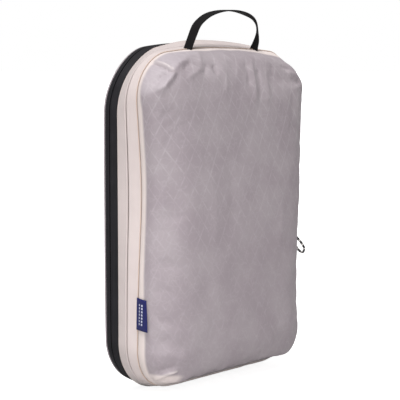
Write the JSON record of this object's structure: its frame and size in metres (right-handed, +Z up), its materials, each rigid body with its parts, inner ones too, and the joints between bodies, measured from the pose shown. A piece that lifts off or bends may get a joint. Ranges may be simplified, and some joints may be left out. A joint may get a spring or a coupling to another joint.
{
  "type": "packing cube",
  "caption": "Soft rectangular compression packing cube with a full fabric front, a zipped back lid, an expansion zipper and a webbing carry handle.",
  "frame": {"origin": "on the ground under the middle of the band between the two zippers, at the middle of the width", "axes": "+Z up along the long side towards the handle, +X to the right seen from the front, -Y out of the front panel, +Y out of the back lid"},
  "size_m": [0.289, 0.0803, 0.4118],
  "materials": {
    "ripstop": "pale grey-mauve coated ripstop, soft sheen",
    "cream_fabric": "matte cream plain weave",
    "cream_tape": "matte cream woven zipper tape",
    "black_tape": "matte black woven zipper tape",
    "binding": "cream binding tape",
    "cream_coil": "cream nylon coil",
    "black_coil": "black nylon coil",
    "dark_metal": "dark lacquered zinc",
    "webbing": "black woven webbing",
    "label": "blue woven label, no lettering",
    "cord": "black and white speckled braided cord"
  },
  "bodies": {
    "gusset": {"compression_tape_back": "cream_tape", "compression_coil_back": "cream_coil", "main_tape_front": "black_tape", "main_coil_front": "black_coil", "hinge_strip": "cream_fabric", "gusset_seam_binding": "binding", "expansion_gusset": "cream_fabric", "main_zip_stop_left": "dark_metal", "main_zip_stop_right": "dark_metal", "compression_zip_stop": "cream_coil"},
    "front": {"front_panel": "ripstop", "compression_tape_front": "cream_tape", "compression_coil_front": "cream_coil", "front_seam_binding": "binding", "side_label": "label"},
    "lid": {"back_panel": "ripstop", "main_tape_back": "black_tape", "main_coil_back": "black_coil", "back_seam_binding": "binding"},
    "handle": {"carry_handle": "webbing"},
    "main_upper_slider": {"main_upper_slider_body": "dark_metal", "main_upper_slider_bridge": "dark_metal"},
    "main_upper_pull": {"main_upper_pull_ring": "dark_metal"},
    "main_lower_slider": {"main_lower_slider_body": "dark_metal", "main_lower_slider_bridge": "dark_metal"},
    "main_lower_pull": {"main_lower_pull_ring": "dark_metal"},
    "compression_slider": {"compression_slider_body": "dark_metal", "compression_slider_bridge": "dark_metal"},
    "compression_pull": {"compression_pull_ring": "dark_metal", "compression_pull_cord": "cord"}
  },
  "joints": [
    {"name": "front_expand", "type": "slide", "parent": "gusset", "child": "front", "axis": [0, -1, 0], "range_m": [0, 0.045], "deforming": ["expansion_gusset"]},
    {"name": "lid_open", "type": "hinge", "parent": "gusset", "child": "lid", "pos_m": [0, 0.0225, 0], "axis": [-1, 0, 0], "range_deg": [0, 90], "deforming": ["hinge_strip"]},
    {"name": "handle_flip", "type": "hinge", "parent": "front", "child": "handle", "pos_m": [0.01, -0.021, 0.371], "axis": [1, 0, 0], "range_deg": [-60, 65]},
    {"name": "main_upper_slide", "type": "slide", "parent": "gusset", "child": "main_upper_slider", "axis": [0, 0, 1], "range_m": [0, 0.06]},
    {"name": "main_upper_pull_swing", "type": "hinge", "parent": "main_upper_slider", "child": "main_upper_pull", "pos_m": [0.1326, 0.014, 0.233], "axis": [0, -1, 0], "range_deg": [0, 150]},
    {"name": "main_lower_slide", "type": "slide", "parent": "gusset", "child": "main_lower_slider", "axis": [0, 0, -1], "range_m": [0, 0.14]},
    {"name": "main_lower_pull_swing", "type": "hinge", "parent": "main_lower_slider", "child": "main_lower_pull", "pos_m": [0.1326, 0.014, 0.219], "axis": [0, -1, 0], "range_deg": [0, 150]},
    {"name": "compression_slide", "type": "slide", "parent": "gusset", "child": "compression_slider", "axis": [0, 0, 1], "range_m": [0, 0.12]},
    {"name": "compression_pull_swing", "type": "hinge", "parent": "compression_slider", "child": "compression_pull", "pos_m": [0.1326, -0.007, 0.173], "axis": [0, -1, 0], "range_deg": [0, 150]}
  ]
}
